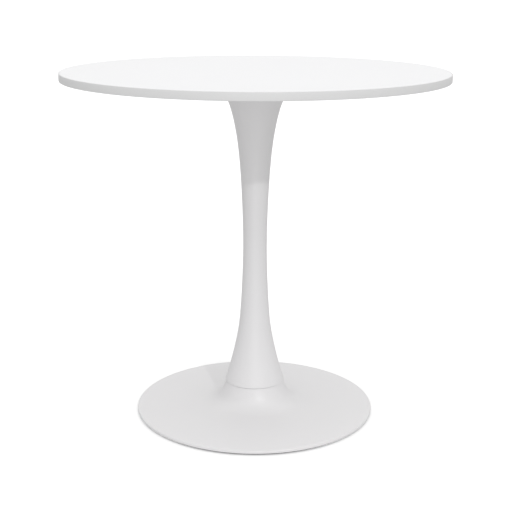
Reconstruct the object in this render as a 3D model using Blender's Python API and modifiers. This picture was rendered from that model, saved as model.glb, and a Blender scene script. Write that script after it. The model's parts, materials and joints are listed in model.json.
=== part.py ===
"""A round pedestal table: a laminated board top on a waisted trumpet column and a flared, weighted base.

One tie rod clamps the top's mounting plate, the column and the base together. Units are metres, +Z is up,
and the origin is on the floor under the column's axis.
"""

import math

import bmesh
import bpy
from mathutils import Matrix, Vector
from mathutils.geometry import interpolate_bezier

# Driving dimensions
TOP_DIAMETER = 0.800
TABLE_HEIGHT = 0.740
TOP_THICKNESS = 0.016
BASE_DIAMETER = 0.516
FIT_GAP = 0.0003

# Top: a board core between two sheets, inside an edge band
SHEET_THICKNESS = 0.0008
BAND_THICKNESS = 0.002
BAND_CHAMFER = 0.0008

# Mounting plate, its bolts and their threaded inserts
PLATE_RADIUS = 0.125
PLATE_THICKNESS = 0.0045
BOLT_COUNT = 6
BOLT_CIRCLE_RADIUS = 0.105
BOLT_RADIUS = 0.003
BOLT_HEAD_RADIUS = 0.006
BOLT_HEAD_HEIGHT = 0.004
BOLT_SOCKET_RADIUS = 0.002
BOLT_SOCKET_DEPTH = 0.0024
BOLT_REACH = 0.010
INSERT_RADIUS = 0.0048
INSERT_LENGTH = 0.012

# Column: outer radius and height of its shape points, from the head down to the foot
COLUMN_WALL = 0.002
COLUMN_SHAPE = (
    (0.0785, 0.7189),
    (0.0633, 0.6950),
    (0.0514, 0.6680),
    (0.0407, 0.6250),
    (0.0327, 0.5700),
    (0.0274, 0.5000),
    (0.0241, 0.4200),
    (0.0235, 0.3550),
    (0.0259, 0.2800),
    (0.0314, 0.2000),
    (0.0403, 0.1480),
    (0.0518, 0.1010),
    (0.0625, 0.0650),
)
SEAM_HEIGHT = COLUMN_SHAPE[-1][1]
SEAM_RADIUS = COLUMN_SHAPE[-1][0]
SEAM_GAP = 0.0005

# Base shell: outer radius and height of its shape points, from the neck out to the rim
SHELL_WALL = 0.0015
RIM_CLEARANCE = 0.004
RIM_HEIGHT = 0.006
RIM_CORNER_RADIUS = 0.0025
RIM_CORNER_START_DEG = 84.0
RIM_LIP = 0.003
BASE_SHAPE = (
    (0.0665, 0.0530),
    (0.0715, 0.0420),
    (0.0795, 0.0310),
    (0.0920, 0.0230),
    (0.1100, 0.0190),
    (0.1500, 0.0170),
    (0.2000, 0.0150),
    (0.2350, 0.0124),
)

# Rings that centre the column on the base's neck and under the mounting plate
LOCATING_RING_HEIGHT = 0.008
LOCATING_RING_WALL = 0.004
FOOT_RING_RADIUS = 0.0570
HEAD_RING_RADIUS = 0.0700

# Tie rod and what it clamps with
ROD_RADIUS = 0.006
ROD_FOOT_HEIGHT = 0.040
NUT_ACROSS_FLATS = 0.019
NUT_HEIGHT = 0.010
NECK_WASHER_RADIUS = 0.025
NECK_WASHER_THICKNESS = 0.004
SPRING_WASHER_RADIUS = 0.0105
SPRING_WASHER_THICKNESS = 0.0025
SPRING_WASHER_SLIT_DEG = 14.0

# Ballast ring and the levelling glides that screw into it
BALLAST_OUTER_RADIUS = 0.210
BALLAST_INNER_RADIUS = 0.060
BALLAST_THICKNESS = 0.0063
GLIDE_COUNT = 4
GLIDE_CIRCLE_RADIUS = 0.190
PAD_RADIUS = 0.015
PAD_HEIGHT = 0.0057
PAD_FLOOR = 0.0020
STUD_RADIUS = 0.004
STUD_TOP = 0.0130

# How finely round shapes are divided
TOP_STEPS = 96
BASE_STEPS = 64
COLUMN_STEPS = 40
RING_STEPS = 24
PAD_STEPS = 20
SMALL_STEPS = 12
COLUMN_CURVE_STEPS = 2
RIM_CORNER_STEPS = 3
MERGE_DISTANCE = 0.00001

# Heights that follow from the dimensions above
UNDERSIDE_HEIGHT = TABLE_HEIGHT - TOP_THICKNESS
CORE_RADIUS = TOP_DIAMETER / 2 - BAND_THICKNESS - FIT_GAP
PLATE_TOP = UNDERSIDE_HEIGHT - FIT_GAP
PLATE_BOTTOM = PLATE_TOP - PLATE_THICKNESS
NECK_HEIGHT = SEAM_HEIGHT - SEAM_GAP
NECK_UNDERSIDE = NECK_HEIGHT - SHELL_WALL
BALLAST_BOTTOM = PAD_HEIGHT + FIT_GAP

COLLECTION_NAME = "round_pedestal_table"
CUTTER_COLLECTION_NAME = "cutters"


def clear_scene():
    for old in list(bpy.data.objects):
        bpy.data.objects.remove(old, do_unlink=True)


def add_collection(name):
    collection = bpy.data.collections.new(name)
    bpy.context.scene.collection.children.link(collection)
    return collection


def make_material(name, colour, roughness, metallic):
    material = bpy.data.materials.new(name)
    material.use_nodes = True
    shader = material.node_tree.nodes["Principled BSDF"]
    shader.inputs["Base Color"].default_value = (*colour, 1.0)
    shader.inputs["Roughness"].default_value = roughness
    shader.inputs["Metallic"].default_value = metallic
    return material


def add_object(name, data, material, location=(0, 0, 0)):
    piece = bpy.data.objects.new(name, data)
    piece.location = location
    piece.data.materials.append(material)
    parts.objects.link(piece)
    return piece


def smooth_curve(points, steps):
    """Points along a smooth curve through the shape points, with steps spans between each two of them."""
    knots = [Vector((r, 0.0, z)) for r, z in points]
    curve = []
    for i in range(len(knots) - 1):
        before = knots[max(i - 1, 0)]
        start = knots[i]
        end = knots[i + 1]
        after = knots[min(i + 2, len(knots) - 1)]
        span = (end - start).length
        leave = (end - before).normalized() * span / 3
        arrive = (after - start).normalized() * span / 3
        stretch = interpolate_bezier(start, start + leave, end - arrive, end, steps + 1)
        curve.extend((p.x, p.z) for p in stretch[:-1])
    curve.append(points[-1])
    return curve


def corner_arc(centre, radius, start_deg, end_deg, steps):
    """Points on a rounded corner of a turned profile, measured from the +radius direction."""
    arc = []
    for i in range(steps + 1):
        angle = math.radians(start_deg + (end_deg - start_deg) * i / steps)
        arc.append((centre[0] + radius * math.cos(angle), centre[1] + radius * math.sin(angle)))
    return arc


def profile_mesh(name, profile, closed):
    """A line of points in the XZ plane. The outer side runs from top to bottom."""
    mesh = bpy.data.meshes.new(name)
    shape = bmesh.new()
    points = [shape.verts.new((r, 0.0, z)) for r, z in profile]
    for start, end in zip(points, points[1:]):
        shape.edges.new((start, end))
    if closed:
        shape.edges.new((points[-1], points[0]))
    shape.to_mesh(mesh)
    shape.free()
    return mesh


def turn(name, profile, material, steps, closed=True, location=(0, 0, 0)):
    """A piece turned about its own Z axis from a profile. A closed profile makes a ring."""
    piece = add_object(name, profile_mesh(name, profile, closed), material, location)
    screw = piece.modifiers.new("turn", "SCREW")
    screw.axis = "Z"
    screw.angle = math.tau
    screw.steps = steps
    screw.render_steps = steps
    screw.use_merge_vertices = True
    screw.merge_threshold = MERGE_DISTANCE
    screw.use_smooth_shade = True
    return piece


def ring_profile(inner_radius, outer_radius, bottom, top):
    return [(outer_radius, top), (outer_radius, bottom), (inner_radius, bottom), (inner_radius, top)]


def thicken(piece, thickness):
    """Gives a turned skin its wall, on the inner side."""
    wall = piece.modifiers.new("wall", "SOLIDIFY")
    wall.thickness = thickness
    wall.offset = -1.0
    wall.use_even_offset = True


def circle_points(radius, count, centre=(0.0, 0.0)):
    points = []
    for i in range(count):
        angle = math.tau * i / count
        points.append((centre[0] + radius * math.cos(angle), centre[1] + radius * math.sin(angle)))
    return points


def flat_piece(name, outlines, bottom, top, material):
    """A flat piece cut from sheet: the first outline is its edge, and the others are its holes."""
    curve = bpy.data.curves.new(name, "CURVE")
    curve.dimensions = "2D"
    curve.fill_mode = "BOTH"
    curve.extrude = (top - bottom) / 2
    for outline in outlines:
        spline = curve.splines.new("POLY")
        spline.points.add(len(outline) - 1)
        for point, (x, y) in zip(spline.points, outline):
            point.co = (x, y, 0.0, 1.0)
        spline.use_cyclic_u = True
    return add_object(name, curve, material, (0.0, 0.0, (top + bottom) / 2))


def around(count, radius, index, start_deg=0.0):
    """The place of one of several equal pieces on a circle round the table's axis."""
    angle = math.radians(start_deg) + math.tau * index / count
    return Vector((radius * math.cos(angle), radius * math.sin(angle), 0.0))


def bolt_place(index):
    return around(BOLT_COUNT, BOLT_CIRCLE_RADIUS, index)


def glide_place(index):
    return around(GLIDE_COUNT, GLIDE_CIRCLE_RADIUS, index, start_deg=45.0)


def cut_pockets(piece, radius, bottom, top, places):
    """Round pockets, cut one by one with cylinders that stay in the cutters' collection."""
    for index, place in enumerate(places, start=1):
        cutter_mesh = bpy.data.meshes.new(f"{piece.name}_cutter_{index}")
        shape = bmesh.new()
        bmesh.ops.create_cone(
            shape,
            cap_ends=True,
            segments=SMALL_STEPS,
            radius1=radius,
            radius2=radius,
            depth=top - bottom,
            matrix=Matrix.Translation((0.0, 0.0, (top + bottom) / 2)),
        )
        shape.to_mesh(cutter_mesh)
        shape.free()
        cutter = bpy.data.objects.new(cutter_mesh.name, cutter_mesh)
        cutter.location = place
        cutter.display_type = "WIRE"
        cutter.hide_render = True
        cutters.objects.link(cutter)
        pocket = piece.modifiers.new(f"pocket_{index}", "BOOLEAN")
        pocket.operation = "DIFFERENCE"
        pocket.solver = "EXACT"
        pocket.object = cutter


def build_top():
    """Board core, face laminate, balancing sheet and edge band."""
    core_bottom = UNDERSIDE_HEIGHT + SHEET_THICKNESS + FIT_GAP
    core_top = TABLE_HEIGHT - SHEET_THICKNESS - FIT_GAP
    pocket_radius = INSERT_RADIUS + FIT_GAP
    pocket_top = UNDERSIDE_HEIGHT + INSERT_LENGTH + 2 * FIT_GAP
    places = [bolt_place(i) for i in range(BOLT_COUNT)]

    core_profile = [(0.0, core_top), (CORE_RADIUS, core_top), (CORE_RADIUS, core_bottom), (0.0, core_bottom)]
    core = turn("top_core", core_profile, fibreboard, TOP_STEPS, closed=False)
    cut_pockets(core, pocket_radius, core_bottom - SHEET_THICKNESS, pocket_top, places)

    face = circle_points(CORE_RADIUS, TOP_STEPS)
    flat_piece("top_laminate", [face], TABLE_HEIGHT - SHEET_THICKNESS, TABLE_HEIGHT, white_laminate)

    holes = [circle_points(pocket_radius, SMALL_STEPS, (p.x, p.y)) for p in places]
    sheet_top = UNDERSIDE_HEIGHT + SHEET_THICKNESS
    flat_piece("underside_laminate", [face, *holes], UNDERSIDE_HEIGHT, sheet_top, white_laminate)

    outer = TOP_DIAMETER / 2
    corner = BAND_CHAMFER
    inner = outer - BAND_THICKNESS
    band_profile = [
        (outer - corner, TABLE_HEIGHT),
        (outer, TABLE_HEIGHT - corner),
        (outer, UNDERSIDE_HEIGHT + corner),
        (outer - corner, UNDERSIDE_HEIGHT),
        (inner, UNDERSIDE_HEIGHT),
        (inner, TABLE_HEIGHT),
    ]
    turn("edge_band", band_profile, white_edging, TOP_STEPS)


def build_mounting_plate():
    """Steel disc under the top. Its bolt holes leave the bolts a small clearance."""
    rim = circle_points(PLATE_RADIUS, BASE_STEPS)
    hole_radius = BOLT_RADIUS + FIT_GAP
    holes = []
    for i in range(BOLT_COUNT):
        place = bolt_place(i)
        holes.append(circle_points(hole_radius, SMALL_STEPS, (place.x, place.y)))
    flat_piece("mounting_plate", [rim, *holes], PLATE_BOTTOM, PLATE_TOP, white_powder_coat)


def build_top_fasteners():
    """A threaded insert and a socket-head bolt at each hole of the mounting plate."""
    insert_bottom = UNDERSIDE_HEIGHT + FIT_GAP
    insert = ring_profile(BOLT_RADIUS + FIT_GAP, INSERT_RADIUS, insert_bottom, insert_bottom + INSERT_LENGTH)
    head_top = PLATE_BOTTOM - FIT_GAP
    head_bottom = head_top - BOLT_HEAD_HEIGHT
    chamfer = BOLT_HEAD_HEIGHT / 5
    bolt = [
        (0.0, UNDERSIDE_HEIGHT + BOLT_REACH),
        (BOLT_RADIUS, UNDERSIDE_HEIGHT + BOLT_REACH),
        (BOLT_RADIUS, head_top),
        (BOLT_HEAD_RADIUS, head_top),
        (BOLT_HEAD_RADIUS, head_bottom + chamfer),
        (BOLT_HEAD_RADIUS - chamfer, head_bottom),
        (BOLT_SOCKET_RADIUS, head_bottom),
        (BOLT_SOCKET_RADIUS, head_bottom + BOLT_SOCKET_DEPTH),
        (0.0, head_bottom + BOLT_SOCKET_DEPTH),
    ]
    for i in range(BOLT_COUNT):
        place = bolt_place(i)
        turn(f"top_insert_{i + 1}", insert, zinc_alloy, SMALL_STEPS, location=place)
        turn(f"top_bolt_{i + 1}", bolt, zinc_plated_steel, SMALL_STEPS, closed=False, location=place)


def build_column():
    """Waisted trumpet tube, open at both ends, which are trimmed level."""
    outside = smooth_curve(COLUMN_SHAPE, COLUMN_CURVE_STEPS)
    inside = [(r - COLUMN_WALL, z) for r, z in reversed(outside)]
    turn("column", outside + inside, white_powder_coat, COLUMN_STEPS)


def build_base_shell():
    """Flared shell, open underneath: a flat neck with the rod's hole, a concave sweep and a turned-down rim."""
    rim_radius = BASE_DIAMETER / 2
    rim_top = RIM_CLEARANCE + RIM_HEIGHT
    corner_centre = (rim_radius - RIM_CORNER_RADIUS, rim_top - RIM_CORNER_RADIUS)
    neck = [(ROD_RADIUS + 2 * FIT_GAP, NECK_HEIGHT), (SEAM_RADIUS, NECK_HEIGHT)]
    corner = corner_arc(corner_centre, RIM_CORNER_RADIUS, RIM_CORNER_START_DEG, 0.0, RIM_CORNER_STEPS)
    rim = [*corner, (rim_radius, RIM_CLEARANCE), (rim_radius - RIM_LIP, RIM_CLEARANCE)]
    shell = turn("base_shell", [*neck, *BASE_SHAPE, *rim], white_powder_coat, BASE_STEPS, closed=False)
    thicken(shell, SHELL_WALL)


def build_locating_rings():
    """Rings that keep the column centred at its foot and at its head."""
    foot_bottom = NECK_HEIGHT + FIT_GAP
    foot = ring_profile(
        FOOT_RING_RADIUS - LOCATING_RING_WALL, FOOT_RING_RADIUS, foot_bottom, foot_bottom + LOCATING_RING_HEIGHT
    )
    turn("foot_locating_ring", foot, zinc_plated_steel, RING_STEPS)
    head_top = PLATE_BOTTOM - FIT_GAP
    head = ring_profile(
        HEAD_RING_RADIUS - LOCATING_RING_WALL, HEAD_RING_RADIUS, head_top - LOCATING_RING_HEIGHT, head_top
    )
    turn("head_locating_ring", head, zinc_plated_steel, RING_STEPS)


def build_nut(name, bottom):
    """Hexagonal nut on the rod. A running gap stands for the thread."""
    hexagon = circle_points(NUT_ACROSS_FLATS / 2 / math.cos(math.pi / 6), 6)
    thread = circle_points(ROD_RADIUS + FIT_GAP, SMALL_STEPS)
    flat_piece(name, [hexagon, thread], bottom, bottom + NUT_HEIGHT, zinc_plated_steel)


def build_tie_rod():
    """Rod from the plate's weld nut to the washer, spring washer and nut under the base's neck."""
    plate_nut_bottom = PLATE_BOTTOM - FIT_GAP - NUT_HEIGHT
    rod_top = PLATE_BOTTOM - 2 * FIT_GAP
    chamfer = ROD_RADIUS / 6
    rod = [
        (0.0, rod_top),
        (ROD_RADIUS - chamfer, rod_top),
        (ROD_RADIUS, rod_top - chamfer),
        (ROD_RADIUS, ROD_FOOT_HEIGHT + chamfer),
        (ROD_RADIUS - chamfer, ROD_FOOT_HEIGHT),
        (0.0, ROD_FOOT_HEIGHT),
    ]
    turn("tie_rod", rod, zinc_plated_steel, SMALL_STEPS, closed=False)
    build_nut("plate_nut", plate_nut_bottom)

    washer_top = NECK_UNDERSIDE - FIT_GAP
    washer_bottom = washer_top - NECK_WASHER_THICKNESS
    washer = ring_profile(ROD_RADIUS + FIT_GAP, NECK_WASHER_RADIUS, washer_bottom, washer_top)
    turn("neck_washer", washer, zinc_plated_steel, RING_STEPS)

    spring_top = washer_bottom - FIT_GAP
    spring_bottom = spring_top - SPRING_WASHER_THICKNESS
    slit = math.radians(SPRING_WASHER_SLIT_DEG)
    angles = [slit / 2 + (math.tau - slit) * i / SMALL_STEPS for i in range(SMALL_STEPS + 1)]
    bore = ROD_RADIUS + FIT_GAP
    outer = [(SPRING_WASHER_RADIUS * math.cos(a), SPRING_WASHER_RADIUS * math.sin(a)) for a in angles]
    inner = [(bore * math.cos(a), bore * math.sin(a)) for a in reversed(angles)]
    flat_piece("spring_washer", [outer + inner], spring_bottom, spring_top, zinc_plated_steel)

    build_nut("tie_nut", spring_bottom - FIT_GAP - NUT_HEIGHT)


def build_ballast():
    """Cast ring under the shell, with a tapped hole for each glide."""
    outer = circle_points(BALLAST_OUTER_RADIUS, BASE_STEPS)
    inner = circle_points(BALLAST_INNER_RADIUS, RING_STEPS)
    holes = []
    for i in range(GLIDE_COUNT):
        place = glide_place(i)
        holes.append(circle_points(STUD_RADIUS + FIT_GAP, SMALL_STEPS, (place.x, place.y)))
    top = BALLAST_BOTTOM + BALLAST_THICKNESS
    flat_piece("ballast_ring", [outer, inner, *holes], BALLAST_BOTTOM, top, cast_iron)


def build_glides():
    """Levelling glides, screwed right in: the pad stops against the ballast ring."""
    socket_radius = STUD_RADIUS + FIT_GAP
    edge = PAD_HEIGHT / 5
    pad = [
        (0.0, PAD_FLOOR),
        (socket_radius, PAD_FLOOR),
        (socket_radius, PAD_HEIGHT),
        (PAD_RADIUS - 2 * edge, PAD_HEIGHT),
        (PAD_RADIUS, PAD_HEIGHT / 2),
        (PAD_RADIUS, edge),
        (PAD_RADIUS - edge, 0.0),
        (0.0, 0.0),
    ]
    chamfer = STUD_RADIUS / 6
    stud_bottom = PAD_FLOOR + FIT_GAP
    stud = [
        (0.0, STUD_TOP),
        (STUD_RADIUS - chamfer, STUD_TOP),
        (STUD_RADIUS, STUD_TOP - chamfer),
        (STUD_RADIUS, stud_bottom),
        (0.0, stud_bottom),
    ]
    for i in range(GLIDE_COUNT):
        place = glide_place(i)
        turn(f"glide_{i + 1}_stud", stud, zinc_plated_steel, SMALL_STEPS, closed=False, location=place)
        turn(f"glide_{i + 1}_pad", pad, black_nylon, PAD_STEPS, closed=False, location=place)


clear_scene()
parts = add_collection(COLLECTION_NAME)
cutters = add_collection(CUTTER_COLLECTION_NAME)

white_laminate = make_material("white_laminate", (0.86, 0.87, 0.88), 0.35, 0.0)
white_edging = make_material("white_edging", (0.84, 0.85, 0.86), 0.40, 0.0)
white_powder_coat = make_material("white_powder_coat", (0.84, 0.84, 0.85), 0.28, 0.0)
fibreboard = make_material("fibreboard", (0.48, 0.36, 0.23), 0.85, 0.0)
zinc_plated_steel = make_material("zinc_plated_steel", (0.62, 0.63, 0.64), 0.35, 1.0)
zinc_alloy = make_material("zinc_alloy", (0.55, 0.55, 0.56), 0.45, 1.0)
cast_iron = make_material("cast_iron", (0.10, 0.10, 0.11), 0.60, 0.6)
black_nylon = make_material("black_nylon", (0.02, 0.02, 0.02), 0.55, 0.0)

build_top()
build_mounting_plate()
build_top_fasteners()
build_column()
build_base_shell()
build_locating_rings()
build_tie_rod()
build_ballast()
build_glides()
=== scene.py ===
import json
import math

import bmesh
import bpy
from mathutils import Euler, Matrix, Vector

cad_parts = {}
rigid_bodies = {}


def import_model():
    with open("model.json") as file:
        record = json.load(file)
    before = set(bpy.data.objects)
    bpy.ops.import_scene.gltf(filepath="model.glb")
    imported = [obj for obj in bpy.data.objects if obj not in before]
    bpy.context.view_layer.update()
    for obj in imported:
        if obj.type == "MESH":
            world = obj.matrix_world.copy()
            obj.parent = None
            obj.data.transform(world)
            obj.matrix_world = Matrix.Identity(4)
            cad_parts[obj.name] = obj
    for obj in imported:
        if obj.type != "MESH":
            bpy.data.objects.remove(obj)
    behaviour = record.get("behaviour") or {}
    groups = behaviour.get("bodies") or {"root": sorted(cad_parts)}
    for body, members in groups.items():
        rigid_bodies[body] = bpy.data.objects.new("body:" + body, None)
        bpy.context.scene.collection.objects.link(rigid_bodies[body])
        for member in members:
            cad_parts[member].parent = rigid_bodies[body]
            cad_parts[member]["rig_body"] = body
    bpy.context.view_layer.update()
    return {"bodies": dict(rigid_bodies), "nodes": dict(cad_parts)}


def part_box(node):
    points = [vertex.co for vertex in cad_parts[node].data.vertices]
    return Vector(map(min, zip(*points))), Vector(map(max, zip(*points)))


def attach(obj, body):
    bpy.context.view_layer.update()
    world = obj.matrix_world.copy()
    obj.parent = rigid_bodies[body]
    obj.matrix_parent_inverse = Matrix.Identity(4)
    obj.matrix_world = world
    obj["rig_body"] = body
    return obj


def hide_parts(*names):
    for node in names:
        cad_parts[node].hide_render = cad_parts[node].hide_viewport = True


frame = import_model()

# %% [markdown]
# # A round pedestal table
#
# The table is a white laminated board on a waisted steel column, which stands on a flared steel base.
# The frame that was just loaded holds every part at its real size and place, in metres, with the floor
# at height zero. Its round parts are faceted, so this lesson turns finer pieces around the same places
# and gives each one the finish that the real piece has.

# %% [markdown]
# ## Camera
#
# A long lens from about two metres keeps the round top and the round base close to their true shapes.
# The camera stands a little above the table and looks slightly down, so the top shows as a flat ellipse.
# Its turn is given as Euler angles and not as a look-at target, because a camera on a tripod is level
# only to a fraction of a degree, and those small angles are then plain to read.

# %% Camera
CAMERA_PLACE = (0.0, -2.2464, 0.9441)
CAMERA_DOWN_DEG = 14.928
CAMERA_ROLL_DEG = 0.22
CAMERA_YAW_DEG = -0.057
LENS_MM = 76.03
SENSOR_MM = 36.0

camera_data = bpy.data.cameras.new("camera")
camera_data.lens = LENS_MM
camera_data.sensor_width = SENSOR_MM
camera = bpy.data.objects.new("camera", camera_data)
aim = Euler((math.radians(90.0 - CAMERA_DOWN_DEG), 0.0, math.radians(CAMERA_YAW_DEG))).to_matrix()
roll = Matrix.Rotation(math.radians(CAMERA_ROLL_DEG), 3, "Z")
camera.matrix_world = Matrix.Translation(CAMERA_PLACE) @ (aim @ roll).to_4x4()
bpy.context.scene.collection.objects.link(camera)
bpy.context.scene.camera = camera
print("camera", LENS_MM, "mm, at", CAMERA_PLACE)

# %% [markdown]
# ## Sizes read from the frame
#
# Every height and radius below comes from the box of a frame node, so a finer piece can't drift from
# the part that it stands for. Only small finishing sizes, such as a rounded edge, are new. GAP is the
# clearance that the frame leaves between parts, and points closer than WELD are merged.

# %% Sizes from the frame
MM = 0.001
GAP = 0.3 * MM
WELD = 0.01 * MM


def top_of(node):
    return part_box(node)[1].z


def bottom_of(node):
    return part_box(node)[0].z


def radius_of(node):
    low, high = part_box(node)
    return (high.x - low.x) / 2


def place_of(node):
    """The point on the floor under a node's middle."""
    low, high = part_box(node)
    return Vector(((low.x + high.x) / 2, (low.y + high.y) / 2, 0.0))


BOLTS = sorted(name for name in frame["nodes"] if name.startswith("top_bolt_"))
GLIDES = sorted(name for name in frame["bodies"] if name.startswith("glide_"))
print(len(BOLTS), "bolts,", len(GLIDES), "glides, top", round(2 * radius_of("edge_band"), 3), "m across")

# %% [markdown]
# ## The outline of a turned part
#
# The column and the base are turned shapes: one outline carried round an axis. The frame's version has
# few points. Cutting it with a plane through its axis gives back those points. A new list of numbers
# would also work, but it could disagree with the frame, so the outline is measured instead.
#
# A corner is named by the direction (outwards, upwards) in which it lies farthest. The larger of the two
# numbers decides, and the smaller one settles a tie.

# %% Reading an outline
def outline_of(node, first_corner, last_corner):
    """The outer side of a turned node's section, as (radius, height) points between two of its corners."""
    cut = bmesh.new()
    cut.from_mesh(frame["nodes"][node].data)
    bmesh.ops.remove_doubles(cut, verts=cut.verts, dist=WELD)
    whole = cut.verts[:] + cut.edges[:] + cut.faces[:]
    bmesh.ops.bisect_plane(cut, geom=whole, dist=WELD, plane_no=(0, 1, 0), clear_inner=True, clear_outer=True)
    bmesh.ops.delete(cut, geom=[v for v in cut.verts if v.co.x < 0], context="VERTS")
    first = max(cut.verts, key=lambda v: v.co.x * first_corner[0] + v.co.z * first_corner[1])
    last = max(cut.verts, key=lambda v: v.co.x * last_corner[0] + v.co.z * last_corner[1])
    routes = []
    for edge in first.link_edges:
        route = [first]
        vert = edge.other_vert(first)
        while vert != last:
            route.append(vert)
            edge = next(e for e in vert.link_edges if e != edge)
            vert = edge.other_vert(vert)
        routes.append([(v.co.x, v.co.z) for v in route + [last]])
    cut.free()
    return min(routes, key=len)


TOP_OUTSIDE, FOOT_OUTSIDE = (1, 100), (1, -100)
NECK_BORE, RIM_UNDERSIDE = (-100, 1), (-1, -100)
column_points = outline_of("column", TOP_OUTSIDE, FOOT_OUTSIDE)
base_points = outline_of("base_shell", NECK_BORE, RIM_UNDERSIDE)
print("column outline", len(column_points), "points; base outline", len(base_points), "points")

# %% [markdown]
# ## A smooth outline
#
# A smooth curve through the measured points gives the polished outline. Each span is a cubic Bezier
# curve whose handles follow the neighbouring points, so the curve passes through every point without a
# kink. A turn above CORNER_DEG is a real corner: it stays sharp, and the spans beside it can be straight.

# %% Smoothing an outline
CORNER_DEG = 55.0


def smooth_outline(points, spacing):
    """The same outline, with a smooth curve between its points and new points about one spacing apart."""
    knots = [Vector((r, 0.0, z)) for r, z in points]
    ways = [(b - a).normalized() for a, b in zip(knots, knots[1:])]
    curve = []
    for i, way in enumerate(ways):
        start, end = knots[i], knots[i + 1]
        leave, arrive = way, way
        if i > 0 and math.degrees(ways[i - 1].angle(way)) < CORNER_DEG:
            leave = (end - knots[i - 1]).normalized()
        if i + 1 < len(ways) and math.degrees(way.angle(ways[i + 1])) < CORNER_DEG:
            arrive = (knots[i + 2] - start).normalized()
        span = (end - start).length
        straight = leave is way and arrive is way
        pieces = 1 if straight else max(2, round(span / spacing))
        a, b = start + leave * span / 3, end - arrive * span / 3
        for step in range(pieces):
            t = step / pieces
            s = 1 - t
            curve.append(start * s**3 + a * 3 * t * s**2 + b * 3 * t * t * s + end * t**3)
    return [(p.x, p.z) for p in curve] + [points[-1]]


column_line = smooth_outline(column_points, spacing=6 * MM)
base_line = smooth_outline(base_points, spacing=4 * MM)
print("smoothed to", len(column_line), "and", len(base_line), "points")

# %% [markdown]
# ## Turned pieces
#
# A turned piece starts as a few vertices joined by edges, which bmesh's spin carries round the axis.
# After a full turn the first and last copies are merged and the faces are made to point outwards. Large
# pieces take more steps than small ones, so that no outline looks faceted.

# %% Turned pieces
FINE_TURN = 192
SMALL_TURN = 48
SMOOTH_DEG = 32.0


def smooth_faces(mesh):
    """Shades a mesh smooth, except across edges that turn by more than SMOOTH_DEG."""
    mesh.shade_smooth()
    mesh.set_sharp_from_angle(angle=math.radians(SMOOTH_DEG))


def show_piece(name, shape, material):
    """Makes the bmesh an object with one material."""
    mesh = bpy.data.meshes.new(name)
    shape.to_mesh(mesh)
    shape.free()
    smooth_faces(mesh)
    mesh.materials.append(material)
    piece = bpy.data.objects.new(name, mesh)
    bpy.context.scene.collection.objects.link(piece)
    return piece


def spin_outline(outline, steps, closed=False, axis_place=(0.0, 0.0, 0.0)):
    """A bmesh turned from (radius, height) points about the vertical line through axis_place."""
    shape = bmesh.new()
    centre = Vector(axis_place)
    verts = [shape.verts.new(centre + Vector((r, 0.0, z))) for r, z in outline]
    edges = [shape.edges.new(pair) for pair in zip(verts, verts[1:])]
    if closed:
        edges.append(shape.edges.new((verts[-1], verts[0])))
    bmesh.ops.spin(
        shape, geom=verts + edges, cent=centre, axis=(0, 0, 1), angle=math.tau, steps=steps, use_merge=True
    )
    bmesh.ops.remove_doubles(shape, verts=shape.verts, dist=WELD)
    bmesh.ops.recalc_face_normals(shape, faces=shape.faces)
    outwards = sum(f.calc_area() * f.normal.dot(f.calc_center_median() - centre) for f in shape.faces)
    if outwards < 0:
        bmesh.ops.reverse_faces(shape, faces=shape.faces)
    return shape


print("a large piece turns in", FINE_TURN, "steps, a small one in", SMALL_TURN)

# %% [markdown]
# ## Walls and eased edges
#
# A skin takes its wall from a Solidify modifier, and its sharp ends are eased with a Bevel. Where two
# bevels meet they can leave points in the same place, so a Weld follows and keeps the surface closed.

# %% Walls and eased edges
def add_wall(piece, thickness):
    """Gives a skin its thickness on the inner side, because the outside is the size that matters."""
    wall = piece.modifiers.new("wall", "SOLIDIFY")
    wall.thickness = thickness
    wall.offset = -1.0
    wall.use_even_offset = True


def ease_edges(piece, width, segments=3):
    """Rounds every edge sharper than SMOOTH_DEG, as paint, tumbling or a mould does."""
    bevel = piece.modifiers.new("eased edges", "BEVEL")
    bevel.width = width
    bevel.segments = segments
    bevel.limit_method = "ANGLE"
    bevel.angle_limit = math.radians(SMOOTH_DEG)
    weld = piece.modifiers.new("weld", "WELD")
    weld.merge_threshold = WELD


print("edges that turn by more than", SMOOTH_DEG, "degrees are eased")

# %% [markdown]
# ## Discs and drilled holes
#
# A flat disc is a very short cylinder with one whole face above and one below. Drilling is a Boolean
# with one cylinder for each hole, and it cuts such whole faces cleanly. The result is kept as a plain
# mesh, so that nothing depends on the bits later.

# %% Discs and drilled holes
BIT_TURN = math.radians(2.0)


def add_cylinder(shape, segments, radius, low, high, place=Vector(), turn=0.0):
    """Adds a closed upright cylinder to a bmesh."""
    middle = Matrix.Translation((place.x, place.y, (low + high) / 2)) @ Matrix.Rotation(turn, 4, "Z")
    bmesh.ops.create_cone(
        shape,
        cap_ends=True,
        segments=segments,
        radius1=radius,
        radius2=radius,
        depth=high - low,
        matrix=middle,
    )


def flat_disc(radius, low, high):
    shape = bmesh.new()
    add_cylinder(shape, FINE_TURN, radius, low, high)
    return shape


def drill(piece, places, radius):
    """Cuts round holes right through a piece. BIT_TURN keeps a bit's corners off the piece's own edges."""
    heights = [v.co.z for v in piece.data.vertices]
    bits = bmesh.new()
    for place in places:
        add_cylinder(bits, SMALL_TURN, radius, min(heights) - MM, max(heights) + MM, place, BIT_TURN)
    bits_mesh = bpy.data.meshes.new("drill_bits")
    bits.to_mesh(bits_mesh)
    bits.free()
    cutter = bpy.data.objects.new("drill_bits", bits_mesh)
    bpy.context.scene.collection.objects.link(cutter)
    cut = piece.modifiers.new("drilled", "BOOLEAN")
    cut.object = cutter
    cut.operation = "DIFFERENCE"
    cut.solver = "EXACT"
    drilled = bpy.data.meshes.new_from_object(piece.evaluated_get(bpy.context.evaluated_depsgraph_get()))
    piece.modifiers.clear()
    piece.data = drilled
    bpy.data.objects.remove(cutter)
    smooth_faces(drilled)


print("a drilled hole has", SMALL_TURN, "sides")

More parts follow.
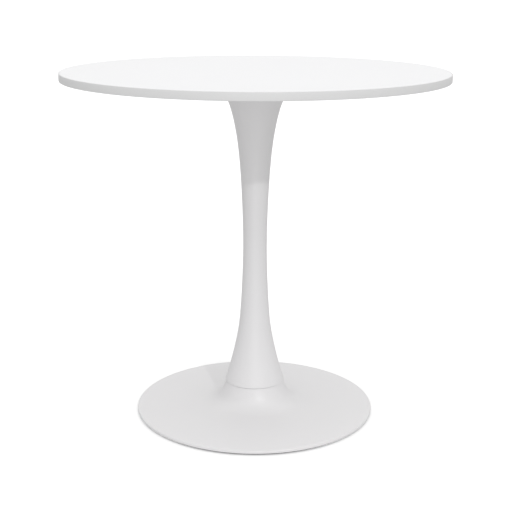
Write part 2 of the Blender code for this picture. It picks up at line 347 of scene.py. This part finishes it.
# %% [markdown]
# ## Standing for a part of the frame
#
# A finer piece takes the place of one frame node. It moves with the same body as that node, and the node
# itself is hidden.

# %% Standing for a frame node
def stands_for(piece, node):
    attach(piece, frame["nodes"][node]["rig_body"])
    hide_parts(node)
    print(piece.name, "stands for", node, "-", len(piece.data.polygons), "faces before finishing")


print(len(frame["nodes"]), "nodes in the frame")

# %% [markdown]
# ## Helpers for materials
#
# A finish is a Principled shader whose roughness and surface relief come from noise patterns. One small
# function adds a node and sets its inputs. Patterns read Object coordinates, which are metres here, so
# a pattern's scale is simply one over the size of its grain.

# %% Helpers for materials
def linear(hex_colour):
    """An sRGB hex colour as linear red, green, blue and alpha."""
    channels = [int(hex_colour[i : i + 2], 16) / 255 for i in (1, 3, 5)]
    return [c / 12.92 if c <= 0.04045 else ((c + 0.055) / 1.055) ** 2.4 for c in channels] + [1.0]


def add_node(tree, kind, settings=(), **links):
    """Adds a node. settings are its options and input values, and links are outputs joined to its inputs."""
    node = tree.nodes.new(kind)
    for key, value in dict(settings).items():
        if key in node.inputs:
            node.inputs[key].default_value = value
        else:
            setattr(node, key, value)
    for key, output in links.items():
        tree.links.new(node.inputs[key.replace("_", " ")], output)
    return node


def shader_inputs(material):
    return material.node_tree.nodes["Principled BSDF"].inputs


def start_material(name, base, roughness, metallic=0.0, ior=None):
    """A plain finish. A metal leaves ior out and keeps the shader's own value."""
    material = bpy.data.materials.new(name)
    material.use_nodes = True
    inputs = shader_inputs(material)
    inputs["Base Color"].default_value = linear(base)
    inputs["Roughness"].default_value = roughness
    inputs["Metallic"].default_value = metallic
    if ior is not None:
        inputs["IOR"].default_value = ior
    return material


def add_patterns(material, **outputs):
    """Joins the shader's inputs to the patterns that drive them."""
    for key, output in outputs.items():
        material.node_tree.links.new(shader_inputs(material)[key.replace("_", " ")], output)
    print("made", material.name)
    return material


print("the hex grey #808080 is", round(linear("#808080")[0], 3), "in linear light")

# %% [markdown]
# ## High-pressure laminate
#
# The top's face is melamine laminate pressed against a finely textured plate. It is a clean, faintly
# cool white with a silky sheen. Close to, tiny soft pebbles break up reflections, and years of wiping
# leave the sheen slightly uneven, in patches about a hand wide. The real pebbles are about 0.3 mm, too
# fine to show from two metres, so they are drawn at 1.5 mm and kept very shallow.

# %% High-pressure laminate
PEBBLE = 1.5 * MM
WIPED_PATCH = 111 * MM


def make_laminate():
    material = start_material("high_pressure_laminate", "#F5F5F6", roughness=0.34, ior=1.5)
    tree = material.node_tree
    where = add_node(tree, "ShaderNodeTexCoord").outputs["Object"]
    wiped = add_node(tree, "ShaderNodeTexNoise", {"Scale": 1 / WIPED_PATCH, "Detail": 3.0}, Vector=where)
    gloss = {"To Min": 0.29, "To Max": 0.40}
    sheen = add_node(tree, "ShaderNodeMapRange", gloss, Value=wiped.outputs["Fac"])
    pebbles = add_node(tree, "ShaderNodeTexNoise", {"Scale": 1 / PEBBLE, "Detail": 2.0}, Vector=where)
    soft = {"Strength": 0.12, "Distance": 0.04 * MM}
    relief = add_node(tree, "ShaderNodeBump", soft, Height=pebbles.outputs["Fac"])
    return add_patterns(material, Roughness=sheen.outputs["Result"], Normal=relief.outputs["Normal"])


laminate = make_laminate()

# %% [markdown]
# ## ABS edging
#
# The edge is a 2 mm strip of extruded ABS, glued round the board and trimmed to a small radius. Its
# colour is set a shade darker than the laminate's white, as painted shade for the upright edge, and the
# extruder leaves very faint lines along it, about 1.2 mm apart. Those lines run round the table, so the
# pattern changes quickly with height and slowly along the strip.

# %% ABS edging
LINE_SPACING = 1.2 * MM
LINE_LENGTH = 500 * MM


def make_edging():
    # This grey is darker than the laminate's white, as painted shade for the upright edge.
    material = start_material("ABS_edging_with_painted_shade", "#E0E0E0", roughness=0.38, ior=1.54)
    tree = material.node_tree
    where = add_node(tree, "ShaderNodeTexCoord").outputs["Object"]
    stretch = {"Scale": (1 / LINE_LENGTH, 1 / LINE_LENGTH, 1 / LINE_SPACING)}
    along_strip = add_node(tree, "ShaderNodeMapping", stretch, Vector=where).outputs["Vector"]
    drawn = add_node(tree, "ShaderNodeTexNoise", {"Scale": 1.0, "Detail": 2.0}, Vector=along_strip)
    soft = {"Strength": 0.10, "Distance": 0.03 * MM}
    relief = add_node(tree, "ShaderNodeBump", soft, Height=drawn.outputs["Fac"])
    gloss = {"To Min": 0.34, "To Max": 0.44}
    sheen = add_node(tree, "ShaderNodeMapRange", gloss, Value=drawn.outputs["Fac"])
    return add_patterns(material, Roughness=sheen.outputs["Result"], Normal=relief.outputs["Normal"])


edging = make_edging()

# %% [markdown]
# ## Powder coat
#
# The column, the base and the mounting plate are steel, sprayed with polyester powder and baked. The
# powder flows as it melts and sets with a gentle orange peel, waves about 3 mm wide that soften every
# reflection. It is semi-gloss, so highlights are broad but still have an edge, and handling leaves the
# gloss slightly uneven.

# %% Powder coat
ORANGE_PEEL = 3.0 * MM
HANDLED_PATCH = 71.4 * MM


def make_powder_coat():
    material = start_material("polyester_powder_coat", "#E9E8E9", roughness=0.36, ior=1.5)
    tree = material.node_tree
    where = add_node(tree, "ShaderNodeTexCoord").outputs["Object"]
    peel = add_node(tree, "ShaderNodeTexNoise", {"Scale": 1 / ORANGE_PEEL, "Detail": 1.5}, Vector=where)
    soft = {"Strength": 0.10, "Distance": 0.012 * MM}
    relief = add_node(tree, "ShaderNodeBump", soft, Height=peel.outputs["Fac"])
    handled = add_node(tree, "ShaderNodeTexNoise", {"Scale": 1 / HANDLED_PATCH, "Detail": 4.0}, Vector=where)
    gloss = {"To Min": 0.32, "To Max": 0.40}
    sheen = add_node(tree, "ShaderNodeMapRange", gloss, Value=handled.outputs["Fac"])
    return add_patterns(material, Roughness=sheen.outputs["Result"], Normal=relief.outputs["Normal"])


powder_coat = make_powder_coat()

# %% [markdown]
# ## Balancing sheet
#
# A board laminated on one side only would bow, so its underside carries a plain melamine sheet. Nobody
# looks at it, so it is matt and a little warmer, with the paper's soft clouds showing. A Mix node has
# sockets for every kind of data, and those for colour are inputs 6 and 7 and output 2.

# %% Balancing sheet
PAPER_CLOUD = 40 * MM
PAPER_GRAIN = 1.0 * MM


def make_balancing_sheet():
    material = start_material("melamine_balancing_sheet", "#E9E8E5", roughness=0.55, ior=1.5)
    tree = material.node_tree
    where = add_node(tree, "ShaderNodeTexCoord").outputs["Object"]
    clouds = add_node(tree, "ShaderNodeTexNoise", {"Scale": 1 / PAPER_CLOUD, "Detail": 5.0}, Vector=where)
    tone = add_node(tree, "ShaderNodeMix", {"data_type": "RGBA"}, Factor=clouds.outputs["Fac"])
    tone.inputs[6].default_value = linear("#E5E4E0")
    tone.inputs[7].default_value = linear("#EDECEA")
    grain = add_node(tree, "ShaderNodeTexNoise", {"Scale": 1 / PAPER_GRAIN, "Detail": 2.0}, Vector=where)
    soft = {"Strength": 0.15, "Distance": 0.03 * MM}
    relief = add_node(tree, "ShaderNodeBump", soft, Height=grain.outputs["Fac"])
    return add_patterns(material, Base_Color=tone.outputs[2], Normal=relief.outputs["Normal"])


balancing_sheet = make_balancing_sheet()

# %% [markdown]
# ## Fibreboard, plated steel, zinc alloy, cast iron and nylon
#
# These finishes sit inside or underneath. Fibreboard is brown felted wood fibre. Zinc plating is a thin
# bright skin with a soft, slightly blue mottle. Die-cast zinc is duller and greyer. The ballast is cast
# iron in black primer, as rough as the sand it was poured in. The glide pads are moulded black nylon
# with a fine grain from the spark-eroded mould. One grain drives the colour, roughness and relief.

# %% Inner and underside finishes
def make_grained(name, colours, grain_mm, relief_mm, rough, metallic=0.0, ior=None):
    """A finish that runs from the first to the second of its colours and roughnesses over one grain."""
    dark, light = colours
    material = start_material(name, light, roughness=rough[1], metallic=metallic, ior=ior)
    tree = material.node_tree
    where = add_node(tree, "ShaderNodeTexCoord").outputs["Object"]
    pattern = {"Scale": 1 / (grain_mm * MM), "Detail": 5.0, "Roughness": 0.6}
    grain = add_node(tree, "ShaderNodeTexNoise", pattern, Vector=where).outputs["Fac"]
    ramp = add_node(tree, "ShaderNodeValToRGB", Fac=grain)
    for stop, position, colour in zip(ramp.color_ramp.elements, (0.35, 0.65), (dark, light)):
        stop.position = position
        stop.color = linear(colour)
    sheen = add_node(tree, "ShaderNodeMapRange", {"To Min": rough[0], "To Max": rough[1]}, Value=grain)
    relief = add_node(tree, "ShaderNodeBump", {"Strength": 0.6, "Distance": relief_mm * MM}, Height=grain)
    return add_patterns(
        material,
        Base_Color=ramp.outputs["Color"],
        Roughness=sheen.outputs["Result"],
        Normal=relief.outputs["Normal"],
    )


fibreboard = make_grained(
    "medium_density_fibreboard",
    ("#A98A63", "#C2A57C"),
    grain_mm=1.2,
    relief_mm=0.05,
    rough=(0.75, 0.9),
    ior=1.5,
)
zinc_plating = make_grained(
    "zinc_plated_steel",
    ("#B9BEC6", "#D2D4D6"),
    grain_mm=2.5,
    relief_mm=0.01,
    rough=(0.22, 0.38),
    metallic=1.0,
)
zinc_alloy = make_grained(
    "die_cast_zinc_alloy",
    ("#9C9EA1", "#AEB0B2"),
    grain_mm=1.5,
    relief_mm=0.02,
    rough=(0.40, 0.55),
    metallic=1.0,
)
cast_iron = make_grained(
    "primed_cast_iron",
    ("#2B2D30", "#3E4043"),
    grain_mm=4.0,
    relief_mm=0.5,
    rough=(0.55, 0.8),
    ior=1.5,
)
nylon = make_grained(
    "moulded_nylon",
    ("#121213", "#1C1C1E"),
    grain_mm=0.8,
    relief_mm=0.02,
    rough=(0.45, 0.6),
    ior=1.53,
)

# %% [markdown]
# ## Table top: face
#
# The face is a thin sheet laid inside the edging, so it is a flat disc. Its rim is eased by a tenth of a
# millimetre, so the joint with the edging catches light as a hairline and not as a gap.

# %% Table top face
EDGING_THICKNESS = 2.0 * MM
GLUE_LINE = 0.05 * MM

face_top, face_bottom = top_of("top_laminate"), bottom_of("top_laminate")
band_inner = radius_of("edge_band") - EDGING_THICKNESS
face_radius = band_inner - GLUE_LINE
face = show_piece("top_face", flat_disc(face_radius, face_bottom, face_top), laminate)
ease_edges(face, width=0.08 * MM, segments=2)
stands_for(face, "top_laminate")

# %% [markdown]
# ## Table top: edge
#
# The edging is a ring with a rectangular section. After the spin its two outer corners are bevelled to
# the 1 mm radius that the trimming cutter leaves, and its inner corners stay sharp against the board.

# %% Table top edge
TRIMMED_RADIUS = 1.0 * MM

band_radius, band_top, band_bottom = radius_of("edge_band"), top_of("edge_band"), bottom_of("edge_band")
band_outline = [
    (band_radius, band_top),
    (band_radius, band_bottom),
    (band_inner, band_bottom),
    (band_inner, band_top),
]
band_shape = spin_outline(band_outline, FINE_TURN, closed=True)
outer_corners = []
for edge in band_shape.edges:
    start, end = edge.verts
    outside = min(start.co.xy.length, end.co.xy.length) > band_radius - MM
    if outside and abs(start.co.z - end.co.z) < WELD:
        outer_corners.append(edge)
bmesh.ops.bevel(
    band_shape,
    geom=outer_corners,
    offset=TRIMMED_RADIUS,
    segments=4,
    profile=0.5,
    affect="EDGES",
    material=-1,
)
band = show_piece("top_edge_band", band_shape, edging)
stands_for(band, "edge_band")

# %% [markdown]
# ## Table top: underside
#
# The balancing sheet is another disc, drilled where the inserts pass through it.

# %% Table top underside
sheet_top, sheet_bottom = top_of("underside_laminate"), bottom_of("underside_laminate")
underside = show_piece("underside_sheet", flat_disc(face_radius, sheet_bottom, sheet_top), balancing_sheet)
drill(underside, [place_of(name) for name in BOLTS], radius_of("top_insert_1") + GAP)
stands_for(underside, "underside_laminate")

# %% [markdown]
# ## Mounting plate
#
# The plate is laser-cut steel, powder coated with the column. A disc, six drilled holes and half a
# millimetre of rounding on every edge is all that such a plate is.

# %% Mounting plate
BOLT_RADIUS = 3.0 * MM

plate_top, plate_bottom = top_of("mounting_plate"), bottom_of("mounting_plate")
plate_shape = flat_disc(radius_of("mounting_plate"), plate_bottom, plate_top)
plate = show_piece("column_mounting_plate", plate_shape, powder_coat)
drill(plate, [place_of(name) for name in BOLTS], BOLT_RADIUS + GAP)
ease_edges(plate, width=0.5 * MM)
stands_for(plate, "mounting_plate")

# %% [markdown]
# ## Bolts
#
# Each bolt has a domed button head with a hexagonal socket. The head is spun with a round socket, and
# the socket's points are then moved out onto six flats, which keeps the mesh clean without a Boolean.
# A point has to move out more, the farther it is from the middle of its flat. DOME_SHARE is the part of
# the head's height that is domed, and the socket ends in a shallow point, as a drill leaves it.

# %% Bolts
SIXTH_TURN = math.radians(60.0)
BOLT_LEAD = 0.6 * MM
DOME_STEPS = 8
DOME_SHARE = 0.8
SOCKET_FLATS = 3.6 * MM
SOCKET_LAND = 0.9 * MM
SOCKET_LEAD = 0.2 * MM
SOCKET_DEPTH = 2.2 * MM
SOCKET_POINT = 2.6 * MM


def hexagon_growth(arm):
    """How much farther out a hexagon lies along arm than at the middle of its flats."""
    turn = math.atan2(arm.y, arm.x) % SIXTH_TURN - SIXTH_TURN / 2
    return 1 / math.cos(turn)


def make_bolt(node):
    place = place_of(node)
    shank_top, head_bottom = top_of(node), bottom_of(node)
    head_radius, head_top = radius_of(node), plate_bottom - GAP
    socket = SOCKET_FLATS / 2
    spread = head_radius - socket - SOCKET_LAND
    rise = (head_top - head_bottom) * DOME_SHARE
    dome = []
    for step in range(DOME_STEPS + 1):
        turn = math.radians(90.0 * step / DOME_STEPS)
        dome.append((head_radius - spread * (1 - math.cos(turn)), head_bottom + rise * (1 - math.sin(turn))))
    outline = [
        (0, shank_top),
        (BOLT_RADIUS - BOLT_LEAD, shank_top),
        (BOLT_RADIUS, shank_top - BOLT_LEAD),
        (BOLT_RADIUS, head_top),
        (head_radius, head_top),
        *dome,
        (socket + SOCKET_LEAD, head_bottom),
        (socket, head_bottom + SOCKET_LEAD),
        (socket, head_bottom + SOCKET_DEPTH),
        (0, head_bottom + SOCKET_POINT),
    ]
    shape = spin_outline(outline, SMALL_TURN, axis_place=place)
    socket_reach = socket + SOCKET_LEAD + WELD
    for vert in shape.verts:
        arm = vert.co - place
        if vert.co.z < head_bottom + SOCKET_DEPTH + WELD and WELD < arm.xy.length < socket_reach:
            vert.co.xy = place.xy + arm.xy * hexagon_growth(arm)
    bolt = show_piece(node + "_button_head", shape, zinc_plating)
    stands_for(bolt, node)


for name in BOLTS:
    make_bolt(name)

# %% [markdown]
# ## Column
#
# The column is one steel tube, spun over a former into a trumpet at each end. Its outline is the
# frame's, smoothed, with a point every few millimetres. The wall goes inwards, and both ends are
# trimmed and lightly rounded before painting.

# %% Column
column = show_piece("column_trumpet_tube", spin_outline(column_line, FINE_TURN), powder_coat)
add_wall(column, thickness=2.0 * MM)
ease_edges(column, width=0.4 * MM)
stands_for(column, "column")

# %% [markdown]
# ## Base
#
# The base is spun from one steel disc: a small flat neck that the column sits on, a sweep that runs out
# into a nearly flat skirt, and a rim turned down to hide the glides. The neck's shoulder and the rim
# are rounded, so the joint under the column reads as one fine line.

# %% Base
base = show_piece("base_flared_shell", spin_outline(base_line, FINE_TURN), powder_coat)
add_wall(base, thickness=1.5 * MM)
ease_edges(base, width=0.35 * MM)
stands_for(base, "base_shell")

# %% [markdown]
# ## Ballast
#
# A plain iron ring under the shell keeps the table from tipping. It is drilled and tapped for the
# glides. Sand casting leaves it rough, so the finish does the work and the shape stays simple: four
# corners with small chamfers, drawn in the outline, and sharp drilled holes.

# %% Ballast ring
BALLAST_BORE = 60.0 * MM
CAST_EDGE = 0.8 * MM

ballast_radius = radius_of("ballast_ring")
ballast_top, ballast_bottom = top_of("ballast_ring"), bottom_of("ballast_ring")
ballast_outline = [
    (ballast_radius - CAST_EDGE, ballast_top),
    (ballast_radius, ballast_top - CAST_EDGE),
    (ballast_radius, ballast_bottom + CAST_EDGE),
    (ballast_radius - CAST_EDGE, ballast_bottom),
    (BALLAST_BORE + CAST_EDGE, ballast_bottom),
    (BALLAST_BORE, ballast_bottom + CAST_EDGE),
    (BALLAST_BORE, ballast_top - CAST_EDGE),
    (BALLAST_BORE + CAST_EDGE, ballast_top),
]
ballast = show_piece("cast_ballast_ring", spin_outline(ballast_outline, FINE_TURN, closed=True), cast_iron)
drill(ballast, [place_of(glide + "_stud") for glide in GLIDES], radius_of("glide_1_stud") + GAP)
stands_for(ballast, "ballast_ring")

# %% [markdown]
# ## Threads
#
# A thread is drawn as plain V grooves at the real pitch: they look the same as a helix at this size, and
# every ring stays closed. The grooves are part of the outline before the spin. The depth and the two
# places below are parts of one pitch.

# %% Threads
THREAD_DEPTH = 0.6
CREST_PLACE = 0.1
ROOT_PLACE = 0.6
THREAD_END = 0.5 * MM


def threaded_outline(radius, low, high, pitch, thread_top):
    """A rod's outline, plain from high down to thread_top and with V grooves from there to low."""
    grooves = int((thread_top - low - 2 * THREAD_END) / pitch)
    root = radius - THREAD_DEPTH * pitch
    line = [(0, high), (radius - THREAD_END, high), (radius, high - THREAD_END)]
    for groove in range(grooves):
        crest = thread_top - THREAD_END - groove * pitch
        line += [(radius, crest - CREST_PLACE * pitch), (root, crest - ROOT_PLACE * pitch)]
    line += [(radius, low + 2 * THREAD_END), (root, low), (0, low)]
    return line


print("grooves are", THREAD_DEPTH, "of a pitch deep")

# %% [markdown]
# ## Levelling glides
#
# Each glide is a nylon pad on a threaded steel stud, with a pitch of 1.25 mm. The pad's foot is rounded
# so that it slides without catching, and its upper side slopes in towards the stud. The two shares below
# are parts of the pad's height.

# %% Levelling glides
STUD_PITCH = 1.25 * MM
PAD_SOCKET_BOTTOM = 2.0 * MM
PAD_SLOPE_TOP, PAD_SLOPE_FOOT = 2.4 * MM, 0.4 * MM
PAD_SLOPE_SHARE, PAD_SIDE_SHARE = 0.62, 0.45
PAD_FOOT, PAD_FOOT_MIDDLE = 1.2 * MM, 0.35 * MM


def pad_outline(radius, top, socket):
    return [
        (0, PAD_SOCKET_BOTTOM),
        (socket, PAD_SOCKET_BOTTOM),
        (socket, top),
        (radius - PAD_SLOPE_TOP, top),
        (radius - PAD_SLOPE_FOOT, top * PAD_SLOPE_SHARE),
        (radius, top * PAD_SIDE_SHARE),
        (radius, PAD_FOOT),
        (radius - PAD_FOOT_MIDDLE, PAD_FOOT_MIDDLE),
        (radius - PAD_FOOT, 0),
        (0, 0),
    ]


def make_glide(body):
    stud_node, pad_node = body + "_stud", body + "_pad"
    place = place_of(pad_node)
    stud_radius, stud_top, stud_bottom = radius_of(stud_node), top_of(stud_node), bottom_of(stud_node)
    stud_line = threaded_outline(stud_radius, stud_bottom, stud_top, STUD_PITCH, stud_top)
    stud_shape = spin_outline(stud_line, SMALL_TURN, axis_place=place)
    stud = show_piece(body + "_threaded_stud", stud_shape, zinc_plating)
    stands_for(stud, stud_node)
    pad_line = pad_outline(radius_of(pad_node), top_of(pad_node), stud_radius + GAP)
    pad = show_piece(body + "_nylon_pad", spin_outline(pad_line, SMALL_TURN, axis_place=place), nylon)
    ease_edges(pad, width=0.25 * MM, segments=2)
    stands_for(pad, pad_node)


for glide in GLIDES:
    make_glide(glide)

# %% [markdown]
# ## Tie rod
#
# One M12 rod pulls the mounting plate, the column and the base together. Only its lower end shows, inside
# the hollow of the base, and there it carries a thread of 1.75 mm pitch.

# %% Tie rod
ROD_PITCH = 1.75 * MM
ROD_THREAD_LENGTH = 40.0 * MM

rod_top, rod_bottom, rod_radius = top_of("tie_rod"), bottom_of("tie_rod"), radius_of("tie_rod")
rod_line = threaded_outline(rod_radius, rod_bottom, rod_top, ROD_PITCH, rod_bottom + ROD_THREAD_LENGTH)
rod = show_piece("tie_rod_threaded_end", spin_outline(rod_line, SMALL_TURN), zinc_plating)
stands_for(rod, "tie_rod")

# %% [markdown]
# ## Nut on the tie rod
#
# A nut is a hexagonal bar, turned so that its six corners are cut back at 30 degrees. Here a ring is spun
# first. Its outer points are then moved out onto six flats, as in the bolts' sockets, and each one drops
# down the 30 degree slope as it goes.

# %% Nut
NUT_FACE_SHARE = 0.97
CORNER_SLOPE = math.tan(math.radians(30.0))

nut_top, nut_bottom = top_of("tie_nut"), bottom_of("tie_nut")
nut_flat = radius_of("tie_nut") * math.cos(SIXTH_TURN / 2)
nut_face = nut_flat * NUT_FACE_SHARE
nut_fall = (nut_flat - nut_face) * CORNER_SLOPE
bore = rod_radius + GAP
nut_line = [
    (bore, nut_top),
    (nut_face, nut_top),
    (nut_flat, nut_top - nut_fall),
    (nut_flat, nut_bottom + nut_fall),
    (nut_face, nut_bottom),
    (bore, nut_bottom),
]
nut_shape = spin_outline(nut_line, SMALL_TURN, closed=True)
nut_middle = (nut_top + nut_bottom) / 2
for vert in nut_shape.verts:
    reach = vert.co.xy.length
    if reach > nut_flat - WELD:
        growth = hexagon_growth(vert.co)
        vert.co.xy *= growth
        vert.co.z -= math.copysign((growth - 1) * reach * CORNER_SLOPE, vert.co.z - nut_middle)
nut = show_piece("tie_nut_hexagon", nut_shape, zinc_plating)
stands_for(nut, "tie_nut")

# %% [markdown]
# ## Washer on the tie rod
#
# The washer spreads the rod's pull over the neck of the base. It is a punched ring, smooth on its edges
# from tumbling.

# %% Washer
washer_radius = radius_of("neck_washer")
washer_top, washer_bottom = top_of("neck_washer"), bottom_of("neck_washer")
washer_line = [
    (washer_radius, washer_top),
    (washer_radius, washer_bottom),
    (bore, washer_bottom),
    (bore, washer_top),
]
washer = show_piece("neck_washer_punched", spin_outline(washer_line, SMALL_TURN, closed=True), zinc_plating)
ease_edges(washer, width=0.4 * MM)
stands_for(washer, "neck_washer")

# %% [markdown]
# ## Parts that keep the frame's shape
#
# The core, the inserts, the locating rings, the weld nut and the spring washer are closed in by other
# parts, and the frame's shapes are right for them. They keep their meshes and only take a finish.

# %% Finishes for the frame's own nodes
def finish_node(node, material):
    mesh = frame["nodes"][node].data
    mesh.materials.clear()
    mesh.materials.append(material)


PLATED = ["plate_nut", "spring_washer", "head_locating_ring", "foot_locating_ring"]
for name in PLATED:
    finish_node(name, zinc_plating)
INSERTS = sorted(name for name in frame["nodes"] if name.startswith("top_insert_"))
for name in INSERTS:
    finish_node(name, zinc_alloy)
finish_node("top_core", fibreboard)
print("finished", len(PLATED), "plated parts,", len(INSERTS), "inserts and the core")

# %% [markdown]
# ## Floor
#
# The floor is plain, pale and faintly glowing, so that it looks as white as the backdrop. It would throw
# that light up under the table, where it isn't wanted, so diffuse and glossy rays don't see it. They do
# see a grey card that lies under the base, just inside the rim. It blocks the surround's light from below,
# and its grey is painted shade in the gap below the rim.

# %% Floor
FLOOR_REACH = 40.0
FLOOR_GLOW = 0.16
CARD_LIFT = 0.2 * MM
CARD_INSET = 6.0 * MM

floor_shape = bmesh.new()
bmesh.ops.create_grid(floor_shape, x_segments=1, y_segments=1, size=FLOOR_REACH)
floor_material = start_material("matt_floor_paint", "#FFFFFF", roughness=1.0)
shader_inputs(floor_material)["Specular IOR Level"].default_value = 0.0
shader_inputs(floor_material)["Emission Color"].default_value = linear("#FFFFFF")
shader_inputs(floor_material)["Emission Strength"].default_value = FLOOR_GLOW
floor = show_piece("floor", floor_shape, floor_material)
floor.visible_diffuse = False
floor.visible_glossy = False

# The grey card is painted shade under the rim, where a real floor would lie in the table's shadow.
card_shape = bmesh.new()
card_radius = radius_of("base_shell") - CARD_INSET
lift = Matrix.Translation((0.0, 0.0, CARD_LIFT))
bmesh.ops.create_circle(card_shape, cap_ends=True, segments=96, radius=card_radius, matrix=lift)
card = show_piece("shade_card", card_shape, start_material("painted_shade_grey", "#8C8C8C", roughness=1.0))
print("floor laid, with a card", round(2 * card_radius, 3), "m across under the base")

# %% [markdown]
# ## Lamps
#
# A very broad light overhead, like a lit ceiling, gives the top and the base their even white. A small
# lamp in front, a little to the right, brightens the column's face, and the edge of the top cuts it off
# in a soft arc on the upper column. A wide, low light from the front, like a white wall there, reaches the
# edge of the top and the steep parts of the column and base, and the floor cuts off the part of it below
# the horizon. All three are sun lights, because a sun's strength is the same all over the floor.

# %% Lamps
def add_lamp(name, right_deg, height_deg, width_deg, strength):
    """A sun light that comes from right_deg to the right of the camera's side and height_deg up."""
    light = bpy.data.lights.new(name, "SUN")
    light.energy = strength
    light.angle = math.radians(width_deg)
    lamp = bpy.data.objects.new(name, light)
    right, height = math.radians(right_deg), math.radians(height_deg)
    level = math.cos(height)
    towards = Vector((math.sin(right) * level, -math.cos(right) * level, math.sin(height)))
    lamp.matrix_world = towards.to_track_quat("Z", "Y").to_matrix().to_4x4()
    bpy.context.scene.collection.objects.link(lamp)
    return light


add_lamp("lit_ceiling", right_deg=0.0, height_deg=90.0, width_deg=100.0, strength=0.80)
front_lamp = add_lamp("front_lamp", right_deg=20.0, height_deg=30.0, width_deg=1.6, strength=0.45)
front_lamp.specular_factor = 0.3
add_lamp("front_wall", right_deg=0.0, height_deg=-6.0, width_deg=40.0, strength=0.43)
print("lit with", len(bpy.data.lights), "lamps")

# %% [markdown]
# ## Surround
#
# The surround lights the table from all round. Its strength rises a little from BELOW to ABOVE. At the
# left and right it is multiplied down to SIDES, as in a studio with darker side walls, so that the white
# column keeps its shaded sides. The camera sees a plain backdrop instead: a Light Path node tells the
# camera's rays from the others.

# %% Surround
BELOW, ABOVE = 0.73, 0.86
SIDES = 0.72
BACKDROP = 1.0

surround = bpy.data.worlds.new("studio_surround")
surround.use_nodes = True
walls = surround.node_tree
way = add_node(walls, "ShaderNodeTexCoord").outputs["Generated"]
parts = add_node(walls, "ShaderNodeSeparateXYZ", Vector=way).outputs
rise = {"From Min": -1.0, "From Max": 1.0, "To Min": BELOW, "To Max": ABOVE}
by_height = add_node(walls, "ShaderNodeMapRange", rise, Value=parts["Z"]).outputs["Result"]
aside = add_node(walls, "ShaderNodeMath", {"operation": "ABSOLUTE"}, Value=parts["X"]).outputs["Value"]
fall = {"To Min": 1.0, "To Max": SIDES, "interpolation_type": "SMOOTHSTEP"}
by_side = add_node(walls, "ShaderNodeMapRange", fall, Value=aside).outputs["Result"]
product = add_node(walls, "ShaderNodeMath", {"operation": "MULTIPLY"}, Value=by_height)
walls.links.new(product.inputs[1], by_side)
seen = add_node(walls, "ShaderNodeLightPath").outputs["Is Camera Ray"]
backdrop = {"To Max": BACKDROP}
strength = add_node(walls, "ShaderNodeMapRange", backdrop, Value=seen, To_Min=product.outputs["Value"])
walls.nodes["Background"].inputs["Color"].default_value = linear("#FFFFFF")
walls.links.new(walls.nodes["Background"].inputs["Strength"], strength.outputs["Result"])
bpy.context.scene.world = surround
bpy.context.scene.view_settings.view_transform = "Standard"
print("surround from", BELOW, "to", ABOVE, "and backdrop", BACKDROP)
